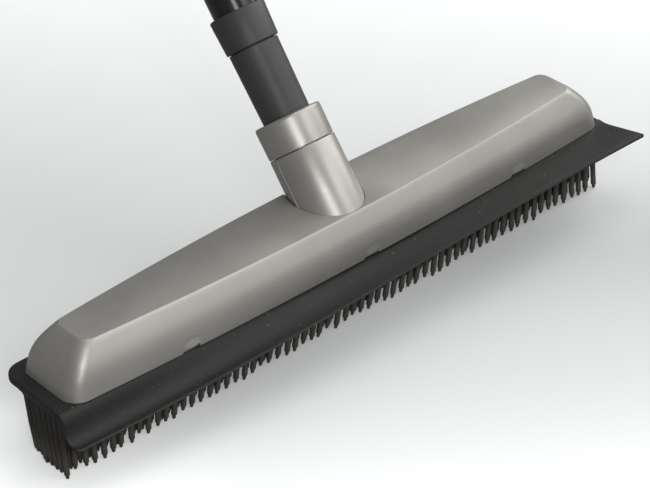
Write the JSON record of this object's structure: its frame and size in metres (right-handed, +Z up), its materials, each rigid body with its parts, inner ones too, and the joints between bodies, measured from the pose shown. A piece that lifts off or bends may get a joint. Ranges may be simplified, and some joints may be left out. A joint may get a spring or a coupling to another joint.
{
  "type": "rubber broom",
  "caption": "Push broom with a long moulded head, soft rubber bristles, a rubber squeegee blade along the front and a tilted telescopic handle.",
  "frame": {"origin": "middle of the bristle tips, on the floor under the middle of the head", "axes": "+X along the head, -Y towards the squeegee blade, +Z up from the floor"},
  "size_m": [0.3335, 0.5963, 0.7621],
  "materials": {
    "silver_moulding": "satin silver-grey moulded plastic with a fine metallic flake",
    "dark_moulding": "matt dark-grey moulded plastic",
    "black_rubber": "matt charcoal rubber",
    "grip_rubber": "soft matt black grip",
    "gloss_tube": "gloss black painted steel tube",
    "screw_steel": "zinc-plated steel"
  },
  "bodies": {
    "head": {"head_housing": "silver_moulding", "handle_socket": "silver_moulding", "foot_screws": "screw_steel", "carrier_plate": "dark_moulding", "rubber_base": "black_rubber", "squeegee_blade": "black_rubber", "bristles": "black_rubber", "socket_collet": "dark_moulding"},
    "socket_collar": {"socket_collar": "silver_moulding"},
    "handle": {"ferrule": "dark_moulding", "ferrule_collet": "dark_moulding", "lower_tube": "gloss_tube", "lock_sleeve": "dark_moulding", "lock_collet": "dark_moulding"},
    "ferrule_collar": {"ferrule_collar": "dark_moulding"},
    "lock_collar": {"lock_collar": "dark_moulding"},
    "upper_handle": {"upper_tube": "gloss_tube", "slide_bush": "dark_moulding", "grip": "grip_rubber", "end_cap": "dark_moulding"}
  },
  "joints": [
    {"name": "socket_collar_turn", "type": "hinge", "parent": "head", "child": "socket_collar", "pos_m": [0, 0.02351, 0.08481], "axis": [0, 0.617, 0.7869], "range_deg": [0, 120]},
    {"name": "handle_pull", "type": "slide", "parent": "head", "child": "handle", "axis": [0, 0.617, 0.7869], "range_m": [0, 0.04]},
    {"name": "ferrule_collar_turn", "type": "hinge", "parent": "handle", "child": "ferrule_collar", "pos_m": [0, 0.0556, 0.12573], "axis": [0, 0.617, 0.7869], "range_deg": [0, 120]},
    {"name": "lock_collar_turn", "type": "hinge", "parent": "handle", "child": "lock_collar", "pos_m": [0, 0.44927, 0.62779], "axis": [0, 0.617, 0.7869], "range_deg": [0, 120]},
    {"name": "handle_extend", "type": "slide", "parent": "handle", "child": "upper_handle", "axis": [0, 0.617, 0.7869], "range_m": [0, 0.45]}
  ]
}
